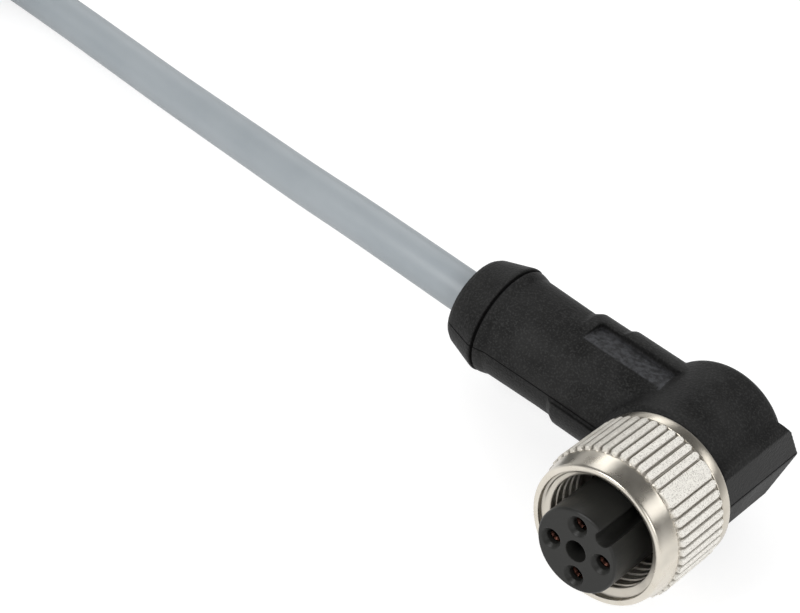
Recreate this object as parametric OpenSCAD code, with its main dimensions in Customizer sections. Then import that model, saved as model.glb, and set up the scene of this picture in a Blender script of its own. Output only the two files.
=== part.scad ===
// Right-angled M12 female cordset: moulded elbow, captive knurled nut, 4-way contact carrier, 2 m cable.
// Frame: origin at the centre of the nut's mouth, the mate comes from -Y, the cable leaves towards -X.

/* [Coupling nut] */
// Radius over the knurl's ribs
rib_r = 7.45; // [7.3:0.05:7.6]
// Length of the nut from its mouth to its rear edge
nut_len = 10.2; // [9.8:0.1:10.3]
// Depth of the grooves between the ribs
rib_depth = 0.36; // [0.2:0.02:0.5]
// Rib places round the nut
rib_places = 48; // [36:4:60]
// Minor radius of the M12 x 1 internal thread
thread_minor_r = 5.459; // [5.4:0.01:5.5]

/* [Contact carrier] */
// Radius of the round carrier
carrier_r = 4.15; // [4.1:0.05:4.2]
// How far the carrier's face stands ahead of the nut's mouth
carrier_proud = 2.8; // [0:0.1:3]
// Pitch circle radius of the contacts
contact_pcr = 2.65; // [2.5:0.05:2.7]
// Turn of the contact pattern about the mating axis
carrier_turn = 11; // [-20:1:20]
// Bore radius of a socket contact, for a 1 mm pin
socket_r = 0.52; // [0.51:0.01:0.55]
// Width of the coding groove
key_w = 1.5; // [1.3:0.1:1.6]

/* [Housing] */
// Radius of the head behind the nut
head_r = 6.8; // [6.7:0.1:7]
// Distance from the nut's mouth to the cable axis
arm_y = 16.2; // [15.8:0.1:16.6]
// Height of the cable axis over the mating axis
arm_z = 0.5; // [0:0.1:0.6]
// Radius of the arm beside the head
arm_r = 5.2; // [5:0.1:5.4]
// Distance from the mating axis to the end of the collar
arm_reach = 27.2; // [26:0.1:29]
// Largest radius of the collar
collar_r = 5.72; // [5.5:0.02:6]

/* [Cable] */
// Outer diameter of the cable
cable_d = 4.5; // [4.3:0.1:4.5]
// Diameter of one insulated core
core_d = 1.2; // [1.1:0.05:1.25]
// Turns side by side in the coil
coil_wide = 3; // [2:1:3]
// Layers of turns in the coil
coil_layers = 4; // [3:1:4]
// Radius of the coil at the middle of its turns
coil_mid_r = 24.5; // [23:0.5:27]

/* [Hidden] */
$fn = 96;

fit_gap = 0.02;                          // clearance round pieces that are moulded or pushed in
floor_z = -rib_r;                        // the nut's ribs rest on this level

// Nut
groove_r = rib_r - rib_depth;
knurl_y = [2.45, 8.8];
rib_w = 0.7;                             // width of a rib round the nut
land_angle = 56;                         // middle of the wide bare land
land_w = 1.8;
mouth_r = 6.25;
nut_lip_y = 8.65;                        // front of the nut's inner rear lip
nut_lip_r = 4.85;

// Carrier, from front to back
face_y = -carrier_proud;
seat_y = 5.9;                            // front of the seal's seat
flange_y = [7.3, 8.6];
flange_r = 5.3;
seat_r = 4.4;
neck_r = nut_lip_r - 0.1;
barrel_r = 4.2;
housing_y = 10.45;                       // front of the housing
barrel_y = 12.2;                         // rear of the carrier
key_angle = carrier_turn + 45;
key_floor_r = 3;
centre_hole_r = 1.05;                    // clears the middle pin of a five-pin mate
centre_hole_l = 8;
contact_r = 0.9;
contact_y = [face_y + 0.9, 13.4];
contact_angles = [90, 180, 270, 0];      // before the carrier's turn

// Housing
head_shift = [-1.1, 0.1];                // the head's centre beside the mating axis, in X and Z
dome_r = 8.6;
dome_y = 15.8;
dome_blend = 1.8;
boss_x = 5.9;                            // ridge of the end boss, on the parting plane
boss_side_x = 5.35;                      // its upper and lower edges, after the mould draft
boss_z = [-4.2, 4.6];
boss_back_y = 24;
label_z = 5.4;                           // floor of the bare label recess, over the arm's middle
label_lean = 6.4;                        // degrees by which that floor leans down to the back
label_start = 14.1;                      // far end of the recess along the arm
label_l = 9.6;                           // its length
label_back = 1.4;                        // its back wall, behind the arm axis

// Cable
cable_r = cable_d / 2;
jacket_x = -13;                          // where the jacket starts inside the arm
tie_t = 0.6;
tie_w = 4;
tie_gap = 0.15;
coil_z = floor_z + tie_t + tie_gap;      // underside of the coil, which lies on its ties
coil_c = [-138, 22.7 - coil_mid_r - (coil_wide - 1) / 2 * cable_d];
core_colours = ["#6b4023", "#e8e6df", "#2a57a8", "#1d1d1f"];

// Route of the cable's centre line from the arm to the coil
cable_route = [
    [-13, 16.2, 0.5], [-16, 16.2, 0.5], [-22, 16.2, 0.5], [-29, 16.2, 0.5], [-36, 16.5, 0.3],
    [-44, 17.1, -0.2], [-52, 18, -1.1], [-60, 19.2, -2.1], [-68, 20.4, -3.1], [-76, 21.4, -3.9],
    [-84, 22.1, -4.3], [-93, 22.5, -4.4], [-102, 22.7, -4.45], [-112, 22.7, -4.45],
    [-121, 22.7, -4.45], [-130, 22.7, -4.45]
];

// Route of the free end, from the top of the coil down to the floor
tail_route = [
    [-130, -35.3, 9], [-124, -35.3, 8.5], [-117, -35.3, 6.3], [-110, -35.3, 2.4],
    [-103, -35.3, -1.6], [-96, -35.3, -4.4], [-89, -35.3, -5.2], [-84, -35.3, -5.2]
];

// Turns what is drawn along Z to lie along +Y
module along_y() rotate([-90, 0, 0]) children();

// Turns what is drawn along Z to run from the mating axis towards -X on the cable axis
module along_arm() translate([0, arm_y, arm_z]) rotate([0, -90, 0]) children();

// ---- Swept tubes ----
function unit(v) = v / norm(v);
function tangent(p, i) = unit(p[min(i + 1, len(p) - 1)] - p[max(i - 1, 0)]);
function ring(p, i, r, sides) =
    let (t = tangent(p, i), s = unit(cross(t, [0, 0, 1])), u = cross(s, t))
    [for (k = [0 : sides - 1]) p[i] + r * (cos(360 * k / sides) * s + sin(360 * k / sides) * u)];

module tube(path, r, sides) {
    n = len(path);
    polyhedron(
        points = [for (i = [0 : n - 1]) each ring(path, i, r, sides)],
        faces = concat(
            [[for (k = [0 : sides - 1]) k]],
            [for (i = [0 : n - 2], k = [0 : sides - 1])
                let (a = i * sides + k, b = i * sides + (k + 1) % sides)
                [b, a, a + sides, b + sides]],
            [[for (k = [sides - 1 : -1 : 0]) (n - 1) * sides + k]]
        )
    );
}

// Cubic curve through its two ends
function bezier(p, steps) = [
    for (i = [0 : steps]) let (t = i / steps, u = 1 - t)
        u * u * u * p[0] + 3 * u * u * t * p[1] + 3 * u * t * t * p[2] + t * t * t * p[3]
];

// ---- Coupling nut ----
module nut_section() polygon([
    [mouth_r, 0], [mouth_r + 0.45, 0], [mouth_r + 0.6, 0.12], [mouth_r + 0.65, 0.35],
    [6.98, 0.9], [7.09, 1.5], [7.2, 2], [7.3, 2.3], [groove_r, 2.4], [groove_r, knurl_y[1] + 0.1],
    [7.28, knurl_y[1] + 0.2], [7.28, nut_len - 0.25], [7.1, nut_len], [nut_lip_r, nut_len],
    [nut_lip_r, nut_lip_y], [thread_minor_r + 0.55, nut_lip_y], [thread_minor_r + 0.55, seat_y + 0.3],
    [thread_minor_r, seat_y - 0.25], [thread_minor_r, mouth_r - thread_minor_r]
]);

// A raised bar with round ends, standing on the grooves' floor
module rib(w) {
    half = (knurl_y[1] - knurl_y[0] - rib_w) / 2;
    translate([groove_r - 0.3, (knurl_y[0] + knurl_y[1]) / 2, 0])
        rotate([0, 90, 0])
            linear_extrude(rib_depth + 0.3) {
                square([w, 2 * half], center = true);
                for (side = [-1, 1])
                    for (end = [-1, 1])
                        translate([side * (w - rib_w) / 2, end * half]) circle(d = rib_w, $fn = 24);
                if (w > rib_w) square([w - rib_w, 2 * half + rib_w], center = true);
            }
}

module coupling_nut() color("#c9c6c0") {
    step = 360 / rib_places;
    along_y() rotate_extrude() nut_section();
    for (i = [0 : rib_places - 1])
        let (a = land_angle + (i - 0.5) * step)
            if (i > 1) rotate([0, -a, 0]) rib(rib_w);
    rotate([0, -land_angle, 0]) rib(land_w);
}

// ---- Contact carrier and contacts ----
module contact_section(grow = 0) {
    r = contact_r + grow;
    translate([0, contact_y[0] - grow]) square([r, contact_y[1] - contact_y[0] + 2 * grow]);
    translate([0, 2.6 - grow]) square([r + 0.25, 0.9 + 2 * grow]);
}

module at_contact(i) rotate([0, -(contact_angles[i] + carrier_turn), 0]) translate([contact_pcr, 0, 0]) children();

module contact(i) color("#c98a45") at_contact(i) difference() {
    along_y() rotate_extrude($fn = 48) contact_section();
    along_y() translate([0, 0, contact_y[0] - 1]) cylinder(r = socket_r, h = 7, $fn = 48);
    along_y() translate([0, 0, contact_y[0] - 0.1]) cylinder(r1 = 0.76, r2 = socket_r, h = 0.3, $fn = 48);
    translate([-2, contact_y[0] - 1, -0.1]) cube([4, 4.4, 0.2]);
    along_y() translate([0, 0, contact_y[1] - 1.2]) cylinder(r = core_d / 2 + fit_gap, h = 2, $fn = 48);
}

module contact_carrier() color("#1b1b1c") difference() {
    along_y() rotate_extrude() polygon([
        [0, face_y], [carrier_r - 0.15, face_y], [carrier_r, face_y + 0.15], [carrier_r, seat_y],
        [seat_r, seat_y + 0.1], [seat_r, flange_y[0]], [flange_r, flange_y[0]], [flange_r, flange_y[1]],
        [neck_r, flange_y[1]], [neck_r, housing_y], [barrel_r, housing_y], [barrel_r, barrel_y], [0, barrel_y]
    ]);
    for (i = [0 : 3]) at_contact(i) {
        along_y() rotate_extrude($fn = 48) contact_section(fit_gap);
        along_y() translate([0, 0, face_y - 1]) cylinder(r = 0.7, h = 3, $fn = 48);
        along_y() translate([0, 0, face_y - 0.01]) cylinder(r1 = 1.05, r2 = 0.7, h = 0.4, $fn = 48);
    }
    along_y() translate([0, 0, face_y - 1]) cylinder(r = centre_hole_r, h = centre_hole_l + 1, $fn = 48);
    rotate([0, -key_angle, 0]) {
        along_y() translate([key_floor_r + key_w / 2, 0, face_y - 1]) cylinder(d = key_w, h = 8, $fn = 48);
        translate([key_floor_r + key_w / 2, face_y - 1, -key_w / 2]) cube([3, 8, key_w]);
    }
}

module seal_ring() color("#3f3b37")
    along_y() translate([0, 0, 6.83]) rotate_extrude() translate([seat_r + 0.45, 0]) circle(r = 0.43, $fn = 32);

// ---- Housing ----
// Head in section: a round bar closed by a dome, with a blend where they meet
module head_section() {
    side_r = head_r - dome_blend;
    blend_y = dome_y + sqrt(pow(dome_r - dome_blend, 2) - side_r * side_r);
    translate([0, housing_y + 0.5]) square([head_r, blend_y - housing_y - 0.5]);
    polygon([[0, housing_y], [head_r - 0.5, housing_y], [head_r, housing_y + 0.5], [0, housing_y + 0.5]]);
    translate([side_r, blend_y]) intersection() {
        circle(r = dome_blend);
        square([dome_blend, dome_blend]);
    }
    intersection() {
        translate([0, dome_y]) circle(r = dome_r);
        polygon([[0, dome_y], [3 * side_r, dome_y + 3 * (blend_y - dome_y)], [0, dome_y + 3 * (blend_y - dome_y)]]);
    }
    translate([0, housing_y + 0.5]) square([side_r, blend_y - housing_y - 0.5 + 0.01]);
}

module head_solid() translate([head_shift[0], 0, head_shift[1]]) along_y() rotate_extrude() head_section();

// Boss on the outer side of the head, with mould draft to a ridge on the parting plane
module end_boss() intersection() {
    rotate([90, 0, 90]) linear_extrude(8) polygon([
        [housing_y + 0.3, boss_z[0]], [boss_back_y - 3, boss_z[0]], [boss_back_y, 0],
        [boss_back_y - 2.2, boss_z[1] - 1], [boss_back_y - 3.2, boss_z[1]], [housing_y + 0.3, boss_z[1]]
    ]);
    rotate([-90, 0, 0]) linear_extrude(40) polygon([
        [1, -boss_z[0]], [boss_side_x - 0.4, -boss_z[0]], [boss_side_x, -boss_z[0] - 0.3], [boss_x, 0],
        [boss_side_x, 0.5 - boss_z[1]], [boss_side_x - 0.5, -boss_z[1]], [1, -boss_z[1]]
    ]);
}

module arm_section() polygon([
    [0, 0], [arm_r, 0], [arm_r, 16], [arm_r + 0.13, 22], [arm_r + 0.28, 22.4], [arm_r + 0.38, 22.8],
    [arm_r + 0.42, 23.08], [arm_r + 0.1, 23.16], [arm_r + 0.1, 23.3], [collar_r, 23.38], [collar_r, 23.6], [4.75, arm_reach - 0.5],
    [4.4, arm_reach], [0, arm_reach]
]);

// Raised shoulder round part of the arm: its own centre fades it out on the near side
module shoulder(start, r, shift) along_arm() translate([shift[1], shift[0], 0]) {
    cylinder(r = r, h = start);
    translate([0, 0, start]) cylinder(r1 = r, r2 = r - 0.4, h = 0.7);
}

module upper_half() translate([-40, 0, 0]) cube([80, 60, 40]);
module lower_half() translate([-40, 0, -40.05]) cube([80, 60, 40]);

// Bare label panel on the arm: its floor leans down towards the back, under the ridge
module label_recess() translate([-label_start, arm_y, label_z]) rotate([-label_lean, 0, 0]) difference() {
    translate([0, -10, 0]) cube([label_l, 10 + label_back, 5]);
    translate([0, label_back, -1]) difference() {
        translate([-1, -0.6, 0]) cube([1.6, 1.6, 7]);
        translate([0.6, -0.6, -1]) cylinder(r = 0.6, h = 9, $fn = 32);
    }
}

// Elbow round the crimps, the cores and the end of the jacket; shrunk by its wall it is the space inside
module cap_form(wall = 0) {
    along_y() translate([0, 0, barrel_y - (wall > 0 ? 1 : 0)])
        cylinder(r = 4.4 - wall, h = 8.2 + (wall > 0 ? 1 : 0) - wall);
    along_arm() cylinder(r = 3.4 - wall, h = 15 - (wall > 0 ? 15 + jacket_x : 0));
}

module housing() color("#202021") difference() {
    union() {
        head_solid();
        end_boss();
        difference() {
            union() {
                along_arm() rotate_extrude() arm_section();
                intersection() {
                    union() {
                        shoulder(15.1, arm_r - 0.2, [0.59, 0.42]);
                        shoulder(11.5, arm_r - 0.25, [0.97, 0.58]);
                    }
                    upper_half();
                }
                intersection() {
                    shoulder(13.4, arm_r + 0.42, [0, 0]);
                    lower_half();
                }
            }
            label_recess();
        }
    }
    along_y() translate([0, 0, housing_y - 1]) cylinder(r = barrel_r, h = barrel_y - housing_y + 1.5);
    cap_form();
    along_arm() translate([0, 0, 10]) cylinder(r = cable_r + fit_gap, h = 30);
    along_arm() translate([0, 0, arm_reach - 0.4]) cylinder(r1 = cable_r + fit_gap, r2 = cable_r + 0.45, h = 0.41);
}

// Hard cap that keeps the moulding compound away from the crimps and the cores
module inner_cap() color("#3a3a3c") difference() {
    cap_form();
    cap_form(0.6);
    along_arm() translate([0, 0, -jacket_x - 1]) cylinder(r = cable_r + fit_gap, h = 5);
}

// ---- Cores, cable and coil ----
function core_spot(i) = 0.92 * [cos(contact_angles[i]), sin(contact_angles[i])];
function core_path(i) =
    let (
        a = contact_angles[i] + carrier_turn,
        start = [contact_pcr * cos(a), contact_y[1] - 1.1, contact_pcr * sin(a)],
        end = [jacket_x + fit_gap, arm_y + core_spot(i)[0], arm_z + core_spot(i)[1]],
        bend = [start[0], end[1] + 0.4, start[2]]
    )
    concat([start], bezier([[start[0], contact_y[1], start[2]], bend, [end[0] + 8, end[1], end[2]],
        [end[0] + 1, end[1], end[2]]], 12), [end]);

// The same core where it comes out of the free end, spreading towards the floor
lead_places = [2, 0, 1, 3];              // order of the four ends, side by side
tail_end = tail_route[len(tail_route) - 1];
function lead_path(i) =
    let (
        spot = core_spot(i),
        start = tail_end + [fit_gap, spot[0], spot[1]],
        end = tail_end + [24, (lead_places[i] - 1.5) * 4, floor_z - tail_end[2] + core_d / 2]
    )
    concat([start], bezier([start + [1, 0, 0], start + [9, 0, 0], end - [9, 0, 0], end - [1, 0, 0]], 8), [end]);

module core(i) color(core_colours[i]) {
    tube(core_path(i), core_d / 2, 8);
    tube(lead_path(i), core_d / 2, 8);
}

// Bare tinned strands at the end of a core
module wire_end(i) color("#c4c3bf") {
    path = lead_path(i);
    translate(path[len(path) - 1]) rotate([0, 90, 0]) {
        cylinder(r = 0.38, h = 6, $fn = 24);
        translate([0, 0, 6]) cylinder(r1 = 0.38, r2 = 0.25, h = 0.2, $fn = 24);
    }
}

module cable() color("#8d9396") tube(cable_route, cable_r, 12);
module cable_tail() color("#8d9396") tube(tail_route, cable_r, 12);

module rounded_rect(w, h, r) {
    square([w - 2 * r, h], center = true);
    square([w, h - 2 * r], center = true);
    for (x = [-1, 1])
        for (y = [-1, 1])
            translate([x * (w / 2 - r), y * (h / 2 - r)]) circle(r = r, $fn = 32);
}

module coil_section(grow = 0) rounded_rect(
    coil_wide * cable_d + 2 * grow, coil_layers * cable_d + 2 * grow, cable_r + grow
);

module at_coil() translate([coil_c[0], coil_c[1], coil_z + coil_layers * cable_r]) children();

module cable_coil() color("#8d9396") at_coil()
    rotate_extrude() translate([coil_mid_r, 0]) coil_section();

module coil_tie(side) color("#202021") at_coil()
    translate([side * coil_mid_r, 0, 0]) rotate([90, 0, 0]) linear_extrude(tie_w, center = true)
        difference() {
            coil_section(tie_gap + tie_t);
            coil_section(tie_gap);
        }

housing();
inner_cap();
contact_carrier();
contact(0);  // contact_1
contact(1);  // contact_2
contact(2);  // contact_3
contact(3);  // contact_4
seal_ring();
coupling_nut();
core(0);  // brown_core
core(1);  // white_core
core(2);  // blue_core
core(3);  // black_core
cable();
cable_coil();
cable_tail();
coil_tie(1);  // coil_tie_1
coil_tie(-1);  // coil_tie_2
wire_end(0);  // brown_wire_end
wire_end(1);  // white_wire_end
wire_end(2);  // blue_wire_end
wire_end(3);  // black_wire_end
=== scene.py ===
import math

import bmesh
import bpy
import numpy as np
from mathutils import Matrix, Vector


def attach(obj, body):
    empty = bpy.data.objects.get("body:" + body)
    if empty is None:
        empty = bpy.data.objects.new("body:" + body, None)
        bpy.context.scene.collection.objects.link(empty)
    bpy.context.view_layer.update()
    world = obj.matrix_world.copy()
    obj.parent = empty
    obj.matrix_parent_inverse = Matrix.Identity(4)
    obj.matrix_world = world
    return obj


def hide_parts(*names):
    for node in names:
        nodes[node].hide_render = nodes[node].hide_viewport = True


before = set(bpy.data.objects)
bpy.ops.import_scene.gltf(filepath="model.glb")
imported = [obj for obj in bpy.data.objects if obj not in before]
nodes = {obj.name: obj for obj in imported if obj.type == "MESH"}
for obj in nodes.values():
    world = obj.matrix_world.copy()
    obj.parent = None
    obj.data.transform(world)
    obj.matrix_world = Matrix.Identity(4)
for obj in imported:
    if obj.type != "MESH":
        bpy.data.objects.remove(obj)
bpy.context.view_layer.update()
MM = 0.001


# ---- Camera ----
camera = bpy.data.objects.new("camera", bpy.data.cameras.new("camera"))
bpy.context.scene.collection.objects.link(camera)
camera.matrix_world = Matrix((
    (0.7373, -0.5113, 0.4415, 55.58 * MM),
    (0.6561, 0.3863, -0.6484, -118.25 * MM),
    (0.1610, 0.7677, 0.6203, 122.46 * MM),
    (0, 0, 0, 1),
))
camera.data.sensor_width = 36
camera.data.lens = 92.05
camera.data.clip_start = 0.01
camera.data.clip_end = 20
bpy.context.scene.camera = camera


# ---- Mesh helpers, in millimetres ----
def mesh_object(name, verts, faces, body, slot, replaces):
    """A new smooth piece from points in millimetres, which stands for these CAD nodes."""
    mesh = bpy.data.meshes.new(name)
    mesh.from_pydata((np.asarray(verts, float) * MM).tolist(), [], [list(f) for f in faces])
    mesh.validate()
    mesh.shade_smooth()
    obj = bpy.data.objects.new(name, mesh)
    bpy.context.scene.collection.objects.link(obj)
    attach(obj, body)
    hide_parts(*replaces)
    return obj


def grid_faces(rows, columns, first=0):
    """Quads between closed rows of points that run round an axis."""
    return [
        (first + r * columns + c, first + r * columns + (c + 1) % columns,
         first + (r + 1) * columns + (c + 1) % columns, first + (r + 1) * columns + c)
        for r in range(rows - 1) for c in range(columns)
    ]


def sweep(path, radius, sides):
    """Points and faces of a round tube with closed ends."""
    path = np.asarray(path, float)
    steps = np.gradient(path, axis=0)
    steps /= np.linalg.norm(steps, axis=1)[:, None]
    side = np.cross(steps[0], (0, 0, 1))
    verts = []
    angles = np.arange(sides) * 2 * np.pi / sides
    for p, t in zip(path, steps):
        side = side - t * (side @ t)
        side /= np.linalg.norm(side)
        up = np.cross(side, t)
        verts.append(p + radius * (np.cos(angles)[:, None] * side + np.sin(angles)[:, None] * up))
    verts = np.vstack(verts)
    faces = [f[::-1] for f in grid_faces(len(path), sides)]
    faces.append(tuple(range(sides)))
    faces.append(tuple(range(len(verts) - 1, len(verts) - sides - 1, -1)))
    return verts, faces


def through(points, step):
    """A smooth line through the points, with a point about every step."""
    p = np.asarray(points, float)
    p = np.vstack([2 * p[0] - p[1], p, 2 * p[-1] - p[-2]])
    line = []
    for a, b, c, d in zip(p, p[1:], p[2:], p[3:]):
        count = max(2, int(np.linalg.norm(c - b) / step))
        for t in np.arange(count) / count:
            line.append(0.5 * (2 * b + (c - a) * t + (2 * a - 5 * b + 4 * c - d) * t ** 2
                               + (3 * b - a - 3 * c + d) * t ** 3))
    return np.array(line + [p[-2]])


def bezier(points, steps):
    """A cubic curve with these four control points."""
    a, b, c, d = (np.asarray(p, float) for p in points)
    t = np.linspace(0, 1, steps + 1)[:, None]
    return (1 - t) ** 3 * a + 3 * (1 - t) ** 2 * t * b + 3 * (1 - t) * t ** 2 * c + t ** 3 * d


def ease(x):
    """0 up to 0, 1 from 1 on, and a smooth step between."""
    x = np.clip(x, 0, 1)
    return x * x * (3 - 2 * x)


# ---- The cable: its run, its coil and its free end are one 2 m cord ----
FLOOR_Z = -7.45
CABLE_D = 4.5
CORE_R = 0.6
ARM = (16.2, 0.5)                       # height of the cable axis in Y and Z
COIL_MID_R = 24.5
COIL_C = (-138.0, -6.3)
TIE_T = 0.75                            # thickness of the ties, which the coil stands on
COIL_Z = FLOOR_Z + TIE_T + CABLE_D / 2  # centre of the lowest turns
COIL_TURNS = 11.5
COIL_LAYERS = 4
COIL_STEP = 5                           # degrees between the coil's points
ROUTE_STEP = 2.0

cable_route = [
    (-16, 16.2, 0.5), (-22, 16.2, 0.5), (-29, 16.2, 0.5), (-36, 16.5, 0.3),
    (-44, 17.1, -0.2), (-52, 18, -1.1), (-60, 19.2, -2.1), (-68, 20.4, -3.1), (-76, 21.4, -3.9),
    (-84, 22.1, -4.3), (-93, 22.5, -4.4), (-102, 22.7, -4.45), (-112, 22.7, -4.45),
    (-121, 22.7, -4.45), (-130, 22.7, -4.45),
]
tail_route = [
    (-130, -35.3, 9), (-124, -35.3, 8.5), (-117, -35.3, 6.3), (-110, -35.3, 2.4),
    (-103, -35.3, -1.6), (-96, -35.3, -4.4), (-89, -35.3, -5.2), (-84, -35.3, -5.2),
]


def coil_line():
    """Turns three side by side and four deep. A turn shifts to the next place in its own window of angles."""
    column, layer = 1.0, 0.0            # 1 is the outer place, -1 the inner one
    windows = []                        # (turn, from, to, column step, layer step), angles in degrees
    across = {0: (270, 330), 1: (190, 240), 2: (110, 160), 3: (20, 70)}
    up = {0: (240, 270), 1: (160, 190), 2: (70, 110)}
    turn = 0
    for k in range(COIL_LAYERS):
        way = -1 if k % 2 == 0 else 1
        for _ in range(2):
            windows.append((turn, *across[k], way, 0))
            turn += 1
        if k < COIL_LAYERS - 1:
            windows.append((turn, *up[k], 0, 1))
            turn += 1
    line = []
    for a in np.arange(0, COIL_TURNS * 360 + 0.1, COIL_STEP):
        c, h = column, layer
        for n, low, high, dc, dh in windows:
            part = ease((a - n * 360 - low) / (high - low))
            c += dc * part
            h += dh * part
        r = COIL_MID_R + c * CABLE_D
        around = math.radians(90 + a)
        line.append((COIL_C[0] + r * math.cos(around), COIL_C[1] + r * math.sin(around),
                     COIL_Z + h * CABLE_D))
    return np.array(line)


cable_line = np.vstack([through(cable_route, ROUTE_STEP), coil_line(), through(tail_route, ROUTE_STEP)])
cable_line[:, 1] = np.minimum(cable_line[:, 1], cable_route[-1][1])
cable_line[:, 2] = np.maximum(cable_line[:, 2], FLOOR_Z + CABLE_D / 2)
cable = mesh_object("grey_cable", *sweep(cable_line, CABLE_D / 2, 28), "cordset", "cable_jacket",
                    ("cable", "cable_coil", "cable_tail"))

# The four cores, inside the cap and out of the free end. Each has seven twisted strands at its tip.
CORES = ("brown", "white", "blue", "black")
CORE_SPOT_R = 0.92                      # from the cable's axis to a core's
CRIMP_DEPTH = 1.1                       # of a core inside its contact
INNER_END_X = -12.98
LEAD_LENGTH, LEAD_SPACING = 24, 4
STRAND_R, STRAND_RING_R = 0.125, 0.245
STRANDS_FROM, STRANDS_TO = -0.3, 6
STRAND_TWIST = 0.9                      # radians per millimetre
CONTACT_ANGLES = (90, 180, 270, 0)
CARRIER_TURN = 11
CONTACT_PCR = 2.65
CONTACT_END_Y = 13.4
LEAD_PLACES = (2, 0, 1, 3)              # each core's place in the fan at the free end
tail_end = np.array(tail_route[-1])
wires = []
for i, name in enumerate(CORES):
    a, b = (math.radians(CONTACT_ANGLES[i] + t) for t in (0, CARRIER_TURN))
    spot = CORE_SPOT_R * np.array([0, math.cos(a), math.sin(a)])
    crimp = np.array([CONTACT_PCR * math.cos(b), CONTACT_END_Y, CONTACT_PCR * math.sin(b)])
    inner_end = np.array([INNER_END_X, *ARM]) + spot
    bend = [crimp, (crimp[0], inner_end[1] + 0.4, crimp[2]), inner_end + (8, 0, 0), inner_end + (1, 0, 0)]
    inner = np.vstack([crimp - (0, CRIMP_DEPTH, 0), bezier(bend, 24), inner_end])
    start = tail_end + (0.02, 0, 0) + spot
    end = tail_end + (LEAD_LENGTH, (LEAD_PLACES[i] - 1.5) * LEAD_SPACING, FLOOR_Z - tail_end[2] + CORE_R)
    fan = [start + (1, 0, 0), start + (9, 0, 0), end - (9, 0, 0), end - (1, 0, 0)]
    lead = np.vstack([start, bezier(fan, 30), end])
    v1, f1 = sweep(inner, CORE_R, 14)
    v2, f2 = sweep(lead, CORE_R, 20)
    faces = f1 + [tuple(j + len(v1) for j in f) for f in f2]
    wires.append(mesh_object(name + "_insulation", np.vstack([v1, v2]), faces, "cordset",
                             name + "_insulation", (name + "_core",)))
    verts, faces = [], []
    along = np.linspace(STRANDS_FROM, STRANDS_TO, 24)
    for k in range(7):
        ring = 0 if k == 0 else STRAND_RING_R
        turn = k * math.pi / 3 + along * STRAND_TWIST
        path = np.column_stack([end[0] + along, end[1] + ring * np.cos(turn), end[2] + ring * np.sin(turn)])
        v, f = sweep(path, STRAND_R, 8)
        faces += [tuple(j + len(verts) for j in q) for q in f]
        verts += v.tolist()
    wires.append(mesh_object(name + "_strands", verts, faces, "cordset",
                             "tinned_strand", (name + "_wire_end",)))


# ---- Coupling nut: raised bars outside, M12 x 1 thread inside ----
RIB_R, GROOVE_R = 7.45, 7.09
KNURL_Y = (2.45, 8.8)
RIB_W, LAND_W, LAND_ANGLE = 0.7, 1.8, 56
BAR_PLACES = 48                         # the wide land takes two of them
FLANK, FLANK_SHIFT = 0.09, 0.065        # width of a bar's rounded side, and how far it stands out
MOUTH_R, THREAD_MINOR_R, THREAD_MAJOR_R, PITCH = 6.25, 5.459, 6.0, 1.0
THREAD_START = -0.15                    # turns by which the thread's start is moved round the mouth
THREAD_COLUMNS = 240
THREAD_Y_STEP = 1 / 16
THREAD_END_Y = 6.2
CREST_PART, FLANK_PART = 0.6, 0.36      # of half a pitch
COUNTERBORE_Y, LEAD_IN = 0.5, 2.2       # where the mouth's step starts, and its fall in radius per millimetre
RUN_OUT_Y, RUN_OUT = 6.1, 1.2           # the same for the thread's inner end
BAR_STEP = 7.5                          # degrees from bar to bar

# Degrees from a bar's middle at which the nut has points
across_rib = [-3.75, -3.3, -3.1, -2.95, -2.8, -2.62, -2.4, -1.4, 0, 1.4, 2.4, 2.62, 2.8, 2.95, 3.1, 3.3]
across_land = [-7.5, -7.32, -7.15, -7.0, -6.85, -6.6, -5, -2, 0, 2, 5, 6.6, 6.85, 7.0, 7.15, 7.32]
bars = [(LAND_ANGLE, LAND_W, across_land)]
bars += [(LAND_ANGLE + (i - 0.5) * BAR_STEP, RIB_W, across_rib) for i in range(2, BAR_PLACES)]
nut_angles = np.array([a + o for a, _, offsets in bars for o in offsets])
bar_middle = np.array([a for a, _, offsets in bars for _ in offsets])
bar_half = np.array([w / 2 for _, w, offsets in bars for _ in offsets])


def bar_height(y):
    """How far each of the nut's points at this y stands over the grooves' floor."""
    end_r = RIB_W / 2
    middle = (KNURL_Y[0] + KNURL_Y[1]) / 2
    sideways = np.abs(np.radians(nut_angles - bar_middle)) * RIB_R - (bar_half - end_r)
    endways = abs(y - middle) - ((KNURL_Y[1] - KNURL_Y[0]) / 2 - end_r)
    outside = np.hypot(np.maximum(sideways, 0), max(endways, 0))
    outside = outside + np.minimum(np.maximum(sideways, endways), 0)
    return (RIB_R - GROOVE_R) * ease((end_r - outside + FLANK_SHIFT) / FLANK)


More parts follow.
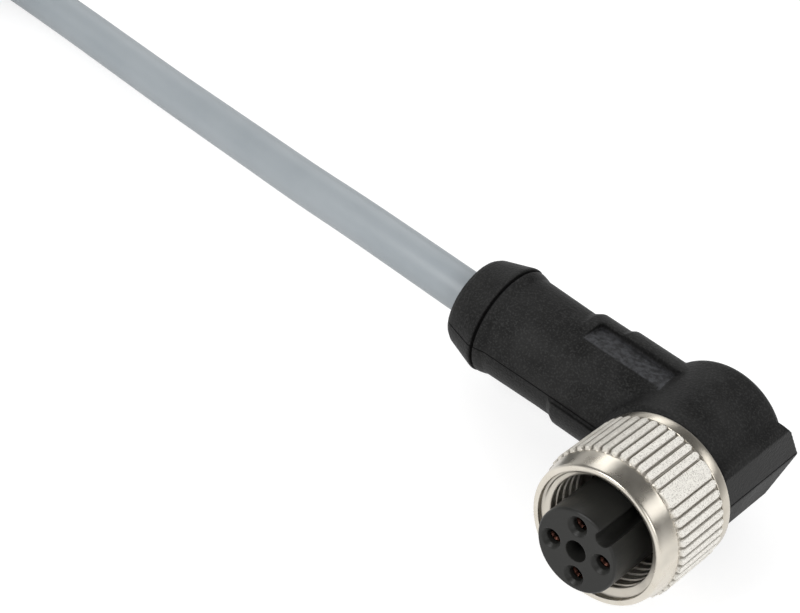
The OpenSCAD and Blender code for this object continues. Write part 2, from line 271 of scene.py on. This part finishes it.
# The nut's profile as radius and y: front and rear, with the bars' own y between them
front = [
    (6.25, 0.3), (6.25, 0.08), (6.27, 0.03), (6.32, 0), (6.6, 0), (6.7, 0.02), (6.79, 0.08), (6.85, 0.18),
    (6.88, 0.32), (6.92, 0.55), (6.96, 0.8), (7.0, 1.05), (7.04, 1.3), (7.08, 1.55), (7.12, 1.8), (7.15, 2.0),
    (7.17, 2.16), (7.17, 2.26), (7.15, 2.32), (7.11, 2.36), (7.09, 2.39),
]
knurl = [
    2.42, 2.47, 2.52, 2.58, 2.65, 2.74, 2.85, 3.0, 3.3, 4.2, 5.6, 7.0, 7.9, 8.25, 8.4, 8.51, 8.6, 8.67, 8.73,
    8.78, 8.83,
]
rear = [
    (7.09, 8.87), (7.12, 8.9), (7.2, 8.92), (7.26, 8.96), (7.28, 9.04), (7.28, 9.5), (7.28, 9.92),
    (7.26, 10.02), (7.2, 10.13), (7.11, 10.19), (7.0, 10.2), (6.2, 10.2), (5.2, 10.2), (4.93, 10.2),
    (4.87, 10.17), (4.85, 10.1), (4.85, 8.65), (6.0, 8.65), (6.0, 5.9),
]
profile = [(np.full(len(nut_angles), r), y) for r, y in front]
profile += [(GROOVE_R + bar_height(y), y) for y in knurl]
profile += [(np.full(len(nut_angles), r), y) for r, y in rear]
turns = np.radians(nut_angles)
verts = np.vstack([
    np.column_stack([r * np.cos(turns), np.full(len(turns), y), r * np.sin(turns)]) for r, y in profile
])
faces = grid_faces(len(profile), len(turns))

# Thread: a right-hand groove between the mouth's short counterbore with its lead-in and the relief behind
thread_turns = np.radians(np.arange(THREAD_COLUMNS) * 360 / THREAD_COLUMNS)
thread_y = np.concatenate([[0.12, 0.16], np.arange(0.2, THREAD_END_Y, THREAD_Y_STEP)])
first = len(verts)
rows = []
for y in thread_y:
    phase = np.abs((y / PITCH + thread_turns / (2 * np.pi) + THREAD_START) % 1 - 0.5) * 2
    depth = ease((phase - CREST_PART) / FLANK_PART)
    r = THREAD_MINOR_R + (THREAD_MAJOR_R - THREAD_MINOR_R) * depth
    r = np.maximum(r, min(MOUTH_R, MOUTH_R - (y - COUNTERBORE_Y) * LEAD_IN))
    r = np.maximum(r, THREAD_MAJOR_R + min(0, (y - RUN_OUT_Y)) * RUN_OUT)
    rows.append(np.column_stack([r * np.cos(thread_turns), np.full(len(r), y), r * np.sin(thread_turns)]))
verts = np.vstack([verts, *rows])
faces += grid_faces(len(thread_y), len(thread_turns), first)
faces = [f[::-1] for f in faces]
nut = mesh_object("knurled_nut", verts, faces, "nut", "nut_plate", ("coupling_nut",))


# ---- Housing and contact carrier: the same solids with the soft edges of a moulding ----
def applied(obj, kind, **settings):
    """The object's mesh with one modifier applied."""
    modifier = obj.modifiers.new(kind, kind)
    for key, value in settings.items():
        setattr(modifier, key, value)
    bpy.context.view_layer.update()
    old = obj.data
    obj.data = bpy.data.meshes.new_from_object(obj.evaluated_get(bpy.context.evaluated_depsgraph_get()))
    obj.modifiers.clear()
    bpy.data.meshes.remove(old)


def softened(node, name, voxel, rounds, keep):
    """A copy of a CAD node with its edges rounded."""
    mesh = nodes[node].data.copy()
    mesh.materials.clear()
    mesh.transform(Matrix.Scale(1 / MM, 4))
    work = bmesh.new()
    work.from_mesh(mesh)
    bmesh.ops.remove_doubles(work, verts=work.verts, dist=0.0005)
    work.to_mesh(mesh)
    work.free()
    obj = bpy.data.objects.new(name, mesh)
    bpy.context.scene.collection.objects.link(obj)
    applied(obj, "REMESH", mode="VOXEL", voxel_size=voxel)
    applied(obj, "SMOOTH", factor=0.5, iterations=rounds)
    applied(obj, "DECIMATE", ratio=keep)
    obj.data.name = name
    obj.data.transform(Matrix.Scale(MM, 4))
    obj.data.shade_smooth()
    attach(obj, "cordset")
    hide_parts(node)
    return obj


housing = softened("housing", "moulded_elbow", 0.09, 3, 0.22)
carrier = softened("contact_carrier", "socket_insert", 0.065, 2, 0.3)


# ---- Materials ----
# The bare label panel: height of its floor over the arm's middle, its lean in degrees and its sides
PANEL_Z, PANEL_LEAN = 5.4, 6.4
PANEL_X, PANEL_Y = (-14.1, -4.5), (14.25, 17.6)
PANEL_COLOUR = (0.056, 0.057, 0.061)
PARTING_Z = 0.25
# Reach and colour of the painted shade in corners and grooves, which the dark parting line also takes
PAINTED_SHADE_REACH = 1.1
PAINTED_SHADE_AND_SEAM_COLOUR = (0.002, 0.002, 0.002)


class Paint:
    """A Principled material and the nodes that feed it."""

    def __init__(self, name, **values):
        self.material = bpy.data.materials.new(name)
        self.material.use_nodes = True
        self.tree = self.material.node_tree
        self.shader = self.tree.nodes["Principled BSDF"]
        for key, value in values.items():
            self.shader.inputs[key.replace("_", " ")].default_value = value
        coordinates = self.tree.nodes.new("ShaderNodeTexCoord")
        self.at = coordinates.outputs["Object"]

    def link(self, out, target):
        self.tree.links.new(out, target)

    def math(self, operation, *inputs, clamp=False):
        node = self.tree.nodes.new("ShaderNodeMath")
        node.operation = operation
        node.use_clamp = clamp
        for socket, value in zip(node.inputs, inputs):
            if isinstance(value, (int, float)):
                socket.default_value = value
            else:
                self.link(value, socket)
        return node.outputs[0]

    def noise(self, size_mm, detail=2.0, roughness=0.5, stretch=(1, 1, 1)):
        """Noise with features of about this size."""
        mapping = self.tree.nodes.new("ShaderNodeMapping")
        mapping.inputs["Scale"].default_value = stretch
        self.link(self.at, mapping.inputs["Vector"])
        node = self.tree.nodes.new("ShaderNodeTexNoise")
        node.inputs["Scale"].default_value = 1 / (size_mm * MM)
        node.inputs["Detail"].default_value = detail
        node.inputs["Roughness"].default_value = roughness
        self.link(mapping.outputs["Vector"], node.inputs["Vector"])
        return node.outputs["Fac"]

    def cells(self, size_mm):
        """Distance from the middles of cells of about this size."""
        node = self.tree.nodes.new("ShaderNodeTexVoronoi")
        node.inputs["Scale"].default_value = 1 / (size_mm * MM)
        self.link(self.at, node.inputs["Vector"])
        return node.outputs["Distance"]

    def axes(self):
        """X, Y and Z of the point, in metres."""
        node = self.tree.nodes.new("ShaderNodeSeparateXYZ")
        self.link(self.at, node.inputs[0])
        return node.outputs

    def ramp(self, value, low, high, to_low, to_high, smooth=False):
        node = self.tree.nodes.new("ShaderNodeMapRange")
        node.interpolation_type = "SMOOTHSTEP" if smooth else "LINEAR"
        for socket, number in zip(node.inputs[1:5], (low, high, to_low, to_high)):
            socket.default_value = number
        self.link(value, node.inputs[0])
        return node.outputs[0]

    def mix(self, factor, one, two):
        node = self.tree.nodes.new("ShaderNodeMix")
        node.data_type = "RGBA"
        self.link(factor, node.inputs["Factor"])
        for socket, value in zip((node.inputs[6], node.inputs[7]), (one, two)):
            if isinstance(value, tuple):
                socket.default_value = (*value, 1)
            else:
                self.link(value, socket)
        return node.outputs[2]

    def open_sky(self, reach_mm):
        """1 on open surfaces, falling to 0 in grooves and corners narrower than this reach."""
        node = self.tree.nodes.new("ShaderNodeAmbientOcclusion")
        node.samples = 8
        node.only_local = True
        node.inputs["Distance"].default_value = reach_mm * MM
        return node.outputs["AO"]

    def bump(self, height, depth_mm, strength=1.0, under=None):
        node = self.tree.nodes.new("ShaderNodeBump")
        node.inputs["Strength"].default_value = strength
        node.inputs["Distance"].default_value = depth_mm * MM
        self.link(height, node.inputs["Height"])
        if under is not None:
            self.link(under, node.inputs["Normal"])
        return node.outputs["Normal"]

    def wear(self, colour, roughness, normal):
        """Links the three to the shader."""
        for value, socket in ((colour, "Base Color"), (roughness, "Roughness"), (normal, "Normal")):
            self.link(value, self.shader.inputs[socket])
        return self.material


def moulded(name, dark, light, grain_mm, grain_depth, rough, shine=0.3, speck=0.3, elbow=False):
    """Black moulding or rubber: grain, painted shade in corners and grooves, and slow tone changes.

    The elbow also has a parting line and a bare panel.
    """
    paint = Paint(name, IOR=1.5, Specular_IOR_Level=shine)
    slow = paint.noise(3.5, 3)
    fine = paint.noise(grain_mm, 2, 0.6)
    pits = paint.cells(grain_mm * 1.6)
    colour = paint.mix(paint.ramp(slow, 0.3, 0.7, 0, 1), dark, light)
    if speck:
        bright = tuple(2.4 * c for c in light)
        colour = paint.mix(paint.ramp(fine, 0.45, 0.7, 0, speck, smooth=True), colour, bright)
    # Painted shade: darker and rougher where corners and grooves close the surface in
    painted_shade_and_seam = paint.ramp(paint.open_sky(PAINTED_SHADE_REACH), 0.52, 0.93, 1, 0, smooth=True)
    both = paint.math("ADD", paint.math("MULTIPLY", slow, 0.5), paint.math("MULTIPLY", fine, 0.5))
    roughness = paint.ramp(both, 0.35, 0.65, rough[0], rough[1])
    normal = paint.bump(paint.math("ADD", fine, paint.math("MULTIPLY", pits, 0.6)), grain_depth, 0.8)
    if elbow:
        x, y, z = paint.axes()
        lean = math.radians(PANEL_LEAN)
        above = paint.math("ADD", paint.math("MULTIPLY", y, math.sin(lean)),
                           paint.math("MULTIPLY", z, math.cos(lean)))
        floor = (ARM[0] * math.sin(lean) + PANEL_Z * math.cos(lean)) * MM
        near = paint.math("ABSOLUTE", paint.math("SUBTRACT", above, floor))
        middle = (PANEL_X[0] + PANEL_X[1]) / 2 * MM
        along = paint.math("ABSOLUTE", paint.math("SUBTRACT", x, middle))
        half = (PANEL_X[1] - PANEL_X[0]) / 2 * MM
        panel = paint.math("MULTIPLY", paint.ramp(near, 0.07 * MM, 0.16 * MM, 1, 0, smooth=True),
                           paint.ramp(along, half - 0.15 * MM, half, 1, 0, smooth=True))
        far_side = paint.ramp(y, (PANEL_Y[1] - 0.2) * MM, PANEL_Y[1] * MM, 1, 0, smooth=True)
        panel = paint.math("MULTIPLY", panel, far_side)
        near_side = paint.ramp(y, (PANEL_Y[0] - 0.25) * MM, PANEL_Y[0] * MM, 0, 1, smooth=True)
        panel = paint.math("MULTIPLY", panel, near_side)
        coarse = paint.noise(0.55, 2, 0.6)
        mottled = paint.math("MULTIPLY", panel, paint.ramp(coarse, 0.35, 0.65, 0.3, 1, smooth=True))
        colour = paint.mix(mottled, colour, PANEL_COLOUR)
        normal = paint.bump(paint.math("MULTIPLY", panel, coarse), 0.12, 0.7, normal)
        off = paint.math("ABSOLUTE", paint.math("SUBTRACT", z, PARTING_Z * MM))
        line = paint.ramp(off, 0.04 * MM, 0.11 * MM, 1, 0, smooth=True)
        normal = paint.bump(paint.math("MULTIPLY", line, -1), 0.08, 1.0, normal)
        # The dark parting line joins the painted shade's mask
        painted_shade_and_seam = paint.math("MAXIMUM", painted_shade_and_seam, line)
    # Painted shade, and the parting line, darken the colour here
    colour = paint.mix(paint.math("MULTIPLY", painted_shade_and_seam, 0.8), colour, PAINTED_SHADE_AND_SEAM_COLOUR)
    roughness = paint.math("ADD", roughness, paint.math("MULTIPLY", painted_shade_and_seam, 0.35), clamp=True)
    return paint.wear(colour, roughness, normal)


def nickel():
    """Nickel plate: smooth in front, with a finely pitted skin on the bars and painted shade in the grooves.

    The bars and the thread are less metallic than the rest, which stands for their frosted skin.
    """
    paint = Paint("nickel_plate", Metallic=1.0)
    x, y, z = paint.axes()
    behind = paint.ramp(y, 2.3 * MM, 2.55 * MM, 0, 1, smooth=True)
    before = paint.ramp(y, 8.75 * MM, 8.95 * MM, 1, 0, smooth=True)
    radius = paint.math("SQRT", paint.math("ADD", paint.math("MULTIPLY", x, x), paint.math("MULTIPLY", z, z)))
    raised = paint.ramp(radius, 7.1 * MM, 7.4 * MM, 0, 1)
    knurled = paint.math("MULTIPLY", paint.math("MULTIPLY", behind, before),
                         paint.math("ADD", raised, 0.35, clamp=True))
    slow = paint.noise(1.6, 3)
    blotch = paint.noise(3.2, 2, 0.6)
    pits = paint.noise(0.13, 3, 0.65)
    lines = paint.noise(0.05, 2, 0.6, stretch=(0.12, 1, 0.12))
    colour = paint.mix(paint.ramp(slow, 0.3, 0.7, 0, 1), (0.63, 0.585, 0.505), (0.70, 0.66, 0.585))
    colour = paint.mix(paint.ramp(blotch, 0.55, 0.72, 0, 0.3, smooth=True), colour, (0.36, 0.335, 0.29))
    colour = paint.mix(knurled, colour, (0.97, 0.945, 0.88))
    # Painted shade: the bars are darker towards the arm's side, at -x, by an amount that varies slowly
    shade_toward_arm = paint.ramp(x, 0.5 * MM, -4.5 * MM, 0, 0.6, smooth=True)
    painted_side_shade = paint.math("MULTIPLY", paint.math("MULTIPLY", knurled, shade_toward_arm),
                         paint.ramp(slow, 0.3, 0.6, 0.5, 1))
    colour = paint.mix(painted_side_shade, colour, (0.43, 0.4, 0.345))
    colour = paint.mix(paint.math("MULTIPLY", knurled, paint.ramp(pits, 0.36, 0.52, 0.6, 0, smooth=True)),
                       colour, (0.36, 0.33, 0.285))
    flange = paint.math("MULTIPLY", paint.ramp(y, 8.8 * MM, 9.0 * MM, 0, 1, smooth=True),
                        paint.ramp(slow, 0.3, 0.7, 0.25, 0.7))
    colour = paint.mix(flange, colour, (0.46, 0.42, 0.35))
    # Painted shade in the grooves between the bars, and more faintly in the thread
    groove = paint.ramp(paint.open_sky(0.5), 0.5, 0.86, 1, 0, smooth=True)
    groove_shade_strength = paint.ramp(radius, 6.3 * MM, 6.7 * MM, 0.12, 0.48)
    colour = paint.mix(paint.math("MULTIPLY", groove, groove_shade_strength), colour, (0.2, 0.18, 0.155))
    roughness = paint.math("ADD", paint.ramp(slow, 0.3, 0.7, 0.25, 0.33),
                           paint.math("MULTIPLY", knurled, paint.ramp(pits, 0.3, 0.7, 0.24, 0.42)))
    thread = paint.math("MULTIPLY", paint.ramp(radius, 6.15 * MM, 6.3 * MM, 1, 0),
                        paint.ramp(y, 0.1 * MM, 0.3 * MM, 0, 1))
    roughness = paint.math("ADD", roughness, paint.math("MULTIPLY", thread, 0.06))
    frost = paint.math("ADD", paint.math("MULTIPLY", knurled, 0.62), paint.math("MULTIPLY", thread, 0.2))
    paint.link(paint.math("SUBTRACT", 1.0, frost, clamp=True), paint.shader.inputs["Metallic"])
    normal = paint.bump(paint.math("MULTIPLY", knurled, pits), 0.07, 0.8)
    normal = paint.bump(lines, 0.0015, 0.5, normal)
    return paint.wear(colour, roughness, normal)


def metal(name, one, two, rough, size_mm):
    """Plain metal with slow tone changes of about this size."""
    paint = Paint(name, Metallic=1.0)
    slow = paint.noise(size_mm, 3)
    return paint.wear(paint.mix(slow, one, two), paint.ramp(slow, 0.3, 0.7, *rough),
                      paint.bump(paint.noise(size_mm / 5), 0.002, 0.4))


def jacket(name, one, two, rough, coat=0.0):
    """Extruded insulation: fine drag lines, a soft sheen and slow tone changes."""
    paint = Paint(name, IOR=1.52, Specular_IOR_Level=0.5, Coat_Weight=coat, Coat_Roughness=0.25)
    slow = paint.noise(9, 3)
    skin = paint.noise(0.22, 3, 0.6)
    colour = paint.mix(paint.ramp(slow, 0.35, 0.65, 0, 1), one, two)
    return paint.wear(colour, paint.ramp(skin, 0.3, 0.7, *rough), paint.bump(skin, 0.008, 0.35))


def dress(target, material):
    """Puts this material in every slot that a piece or a CAD node has, or in a new one."""
    mesh = target.data
    if not mesh.materials:
        mesh.materials.append(material)
    for i in range(len(mesh.materials)):
        mesh.materials[i] = material


dress(housing, moulded("black_moulding", (0.009, 0.009, 0.0089), (0.0215, 0.0215, 0.0212), 0.2, 0.05,
                       (0.44, 0.6), shine=0.08, speck=0.42, elbow=True))
dress(nut, nickel())
dress(cable, jacket("grey_jacket", (0.295, 0.327, 0.35), (0.325, 0.356, 0.378), (0.36, 0.5)))
dress(carrier, moulded("carrier_moulding", (0.0165, 0.0165, 0.0151), (0.0202, 0.0202, 0.0184), 0.12, 0.004,
                       (0.36, 0.46), shine=0.25, speck=0))
dress(nodes["inner_cap"], moulded("cap_moulding", (0.03, 0.03, 0.032), (0.045, 0.045, 0.047), 0.3, 0.01,
                                  (0.45, 0.6)))
dress(nodes["seal_ring"], moulded("seal_rubber", (0.02, 0.018, 0.016), (0.03, 0.027, 0.024), 0.1, 0.006,
                                  (0.5, 0.65)))
tie = moulded("tie_moulding", (0.016, 0.016, 0.017), (0.024, 0.024, 0.025), 0.25, 0.012, (0.4, 0.55))
for n in ("coil_tie_1", "coil_tie_2"):
    dress(nodes[n], tie)
# Painted shade: the contacts' gold is set far darker than bare gold, for the dim sockets round them
shaded_gold = metal("gold_in_painted_shade", (0.048, 0.021, 0.016), (0.08, 0.034, 0.024), (0.24, 0.36), 0.8)
for n in range(1, 5):
    dress(nodes[f"contact_{n}"], shaded_gold)
tin = metal("tinned_copper", (0.62, 0.6, 0.57), (0.74, 0.72, 0.69), (0.28, 0.42), 0.5)
insulation = {
    "brown": ((0.115, 0.045, 0.018), (0.15, 0.06, 0.026)),
    "white": ((0.74, 0.73, 0.68), (0.8, 0.79, 0.75)),
    "blue": ((0.02, 0.085, 0.32), (0.03, 0.11, 0.4)),
    "black": ((0.014, 0.014, 0.015), (0.021, 0.021, 0.022)),
}
for i, name in enumerate(CORES):
    dress(wires[2 * i], jacket(name + "_core_skin", *insulation[name], (0.3, 0.42), coat=0.15))
    dress(wires[2 * i + 1], tin)


# ---- Studio ----
MIRRORED_SKY = (0.0, 0.42, 0.95, 0.17)  # what the metal mirrors: from this height to this, these strengths
LIT_SKY, SHOWN_SKY = 0.54, 1.0
FLOOR_SIZE = 6                          # metres
FLOOR_LIT, FLOOR_SEEN, FLOOR_GLOW = 0.72, 0.4, 0.72

bpy.ops.mesh.primitive_plane_add(size=FLOOR_SIZE, location=(0, 0, FLOOR_Z * MM))
plane = bpy.context.object
plane.name = "floor"

# The floor is plain to the lamps. To the camera and in mirrors it also glows, to be as pale as the sky.
floor_paint = bpy.data.materials.new("floor_white")
floor_paint.use_nodes = True
tree = floor_paint.node_tree
tree.nodes.clear()
out = tree.nodes.new("ShaderNodeOutputMaterial")
light_path = tree.nodes.new("ShaderNodeLightPath")
plain = tree.nodes.new("ShaderNodeBsdfDiffuse")
plain.inputs["Color"].default_value = (FLOOR_LIT, FLOOR_LIT, FLOOR_LIT, 1)
seen = tree.nodes.new("ShaderNodeBsdfDiffuse")
seen.inputs["Color"].default_value = (FLOOR_SEEN, FLOOR_SEEN, FLOOR_SEEN, 1)
glow = tree.nodes.new("ShaderNodeEmission")
glow.inputs["Strength"].default_value = FLOOR_GLOW
both = tree.nodes.new("ShaderNodeAddShader")
pick = tree.nodes.new("ShaderNodeMixShader")
rays = [tree.nodes.new("ShaderNodeMath") for _ in range(2)]
for r in rays:
    r.operation = "MAXIMUM"
tree.links.new(light_path.outputs["Is Camera Ray"], rays[0].inputs[0])
tree.links.new(light_path.outputs["Is Glossy Ray"], rays[0].inputs[1])
tree.links.new(rays[0].outputs[0], rays[1].inputs[0])
tree.links.new(light_path.outputs["Is Transmission Ray"], rays[1].inputs[1])
tree.links.new(seen.outputs[0], both.inputs[0])
tree.links.new(glow.outputs[0], both.inputs[1])
tree.links.new(rays[1].outputs[0], pick.inputs[0])
tree.links.new(plain.outputs[0], pick.inputs[1])
tree.links.new(both.outputs[0], pick.inputs[2])
tree.links.new(pick.outputs[0], out.inputs[0])
plane.data.materials.append(floor_paint)

# The sky is white to the camera, even in its light, and darker overhead where the metal mirrors it
world = bpy.data.worlds.new("studio")
bpy.context.scene.world = world
world.use_nodes = True
tree = world.node_tree
tree.nodes.clear()
out = tree.nodes.new("ShaderNodeOutputWorld")
light_path = tree.nodes.new("ShaderNodeLightPath")
lit = tree.nodes.new("ShaderNodeBackground")
lit.inputs["Color"].default_value = (1, 1, 1, 1)
lit.inputs["Strength"].default_value = LIT_SKY
shown = tree.nodes.new("ShaderNodeBackground")
shown.inputs["Color"].default_value = (1, 1, 1, 1)
shown.inputs["Strength"].default_value = SHOWN_SKY
mirrored = tree.nodes.new("ShaderNodeBackground")
place = tree.nodes.new("ShaderNodeTexCoord")
split = tree.nodes.new("ShaderNodeSeparateXYZ")
height = tree.nodes.new("ShaderNodeMapRange")
height.interpolation_type = "SMOOTHSTEP"
for socket, number in zip(height.inputs[1:5], MIRRORED_SKY):
    socket.default_value = number
tree.links.new(place.outputs["Generated"], split.inputs[0])
tree.links.new(split.outputs["Z"], height.inputs[0])
tree.links.new(height.outputs[0], mirrored.inputs["Strength"])
first_pick = tree.nodes.new("ShaderNodeMixShader")
second_pick = tree.nodes.new("ShaderNodeMixShader")
tree.links.new(light_path.outputs["Is Glossy Ray"], first_pick.inputs[0])
tree.links.new(lit.outputs[0], first_pick.inputs[1])
tree.links.new(mirrored.outputs[0], first_pick.inputs[2])
tree.links.new(light_path.outputs["Is Camera Ray"], second_pick.inputs[0])
tree.links.new(first_pick.outputs[0], second_pick.inputs[1])
tree.links.new(shown.outputs[0], second_pick.inputs[2])
tree.links.new(second_pick.outputs[0], out.inputs[0])


def softbox(name, place, target, size, power, along):
    """A lamp that faces the target, with its second side along this direction."""
    light = bpy.data.lights.new(name, "AREA")
    light.shape = "RECTANGLE"
    light.size, light.size_y = size
    light.energy = power
    obj = bpy.data.objects.new(name, light)
    bpy.context.scene.collection.objects.link(obj)
    back = (Vector(place) - Vector(target)).normalized()
    side = Vector(along).cross(back).normalized()
    turned = Matrix((side, back.cross(side), back)).transposed().to_4x4()
    obj.matrix_world = Matrix.Translation(place) @ turned


TARGET = (-0.01, 0.01, 0.0)
UPRIGHT = (0, 0, 1)
softbox("right_back", (0.32, 0.34, 0.38), TARGET, (0.2, 0.4), 0.52, (0.24, -0.35, 0.1))
softbox("left_back", (-0.37, 0.35, 0.33), TARGET, (0.22, 0.4), 0.56, (-0.1, -0.29, 0.18))
softbox("right", (0.46, -0.22, 0.32), TARGET, (0.3, 0.3), 1.0, UPRIGHT)
softbox("front", (-0.21, -0.42, 0.36), TARGET, (0.25, 0.25), 1.7, UPRIGHT)

bpy.context.scene.view_settings.view_transform = "Standard"
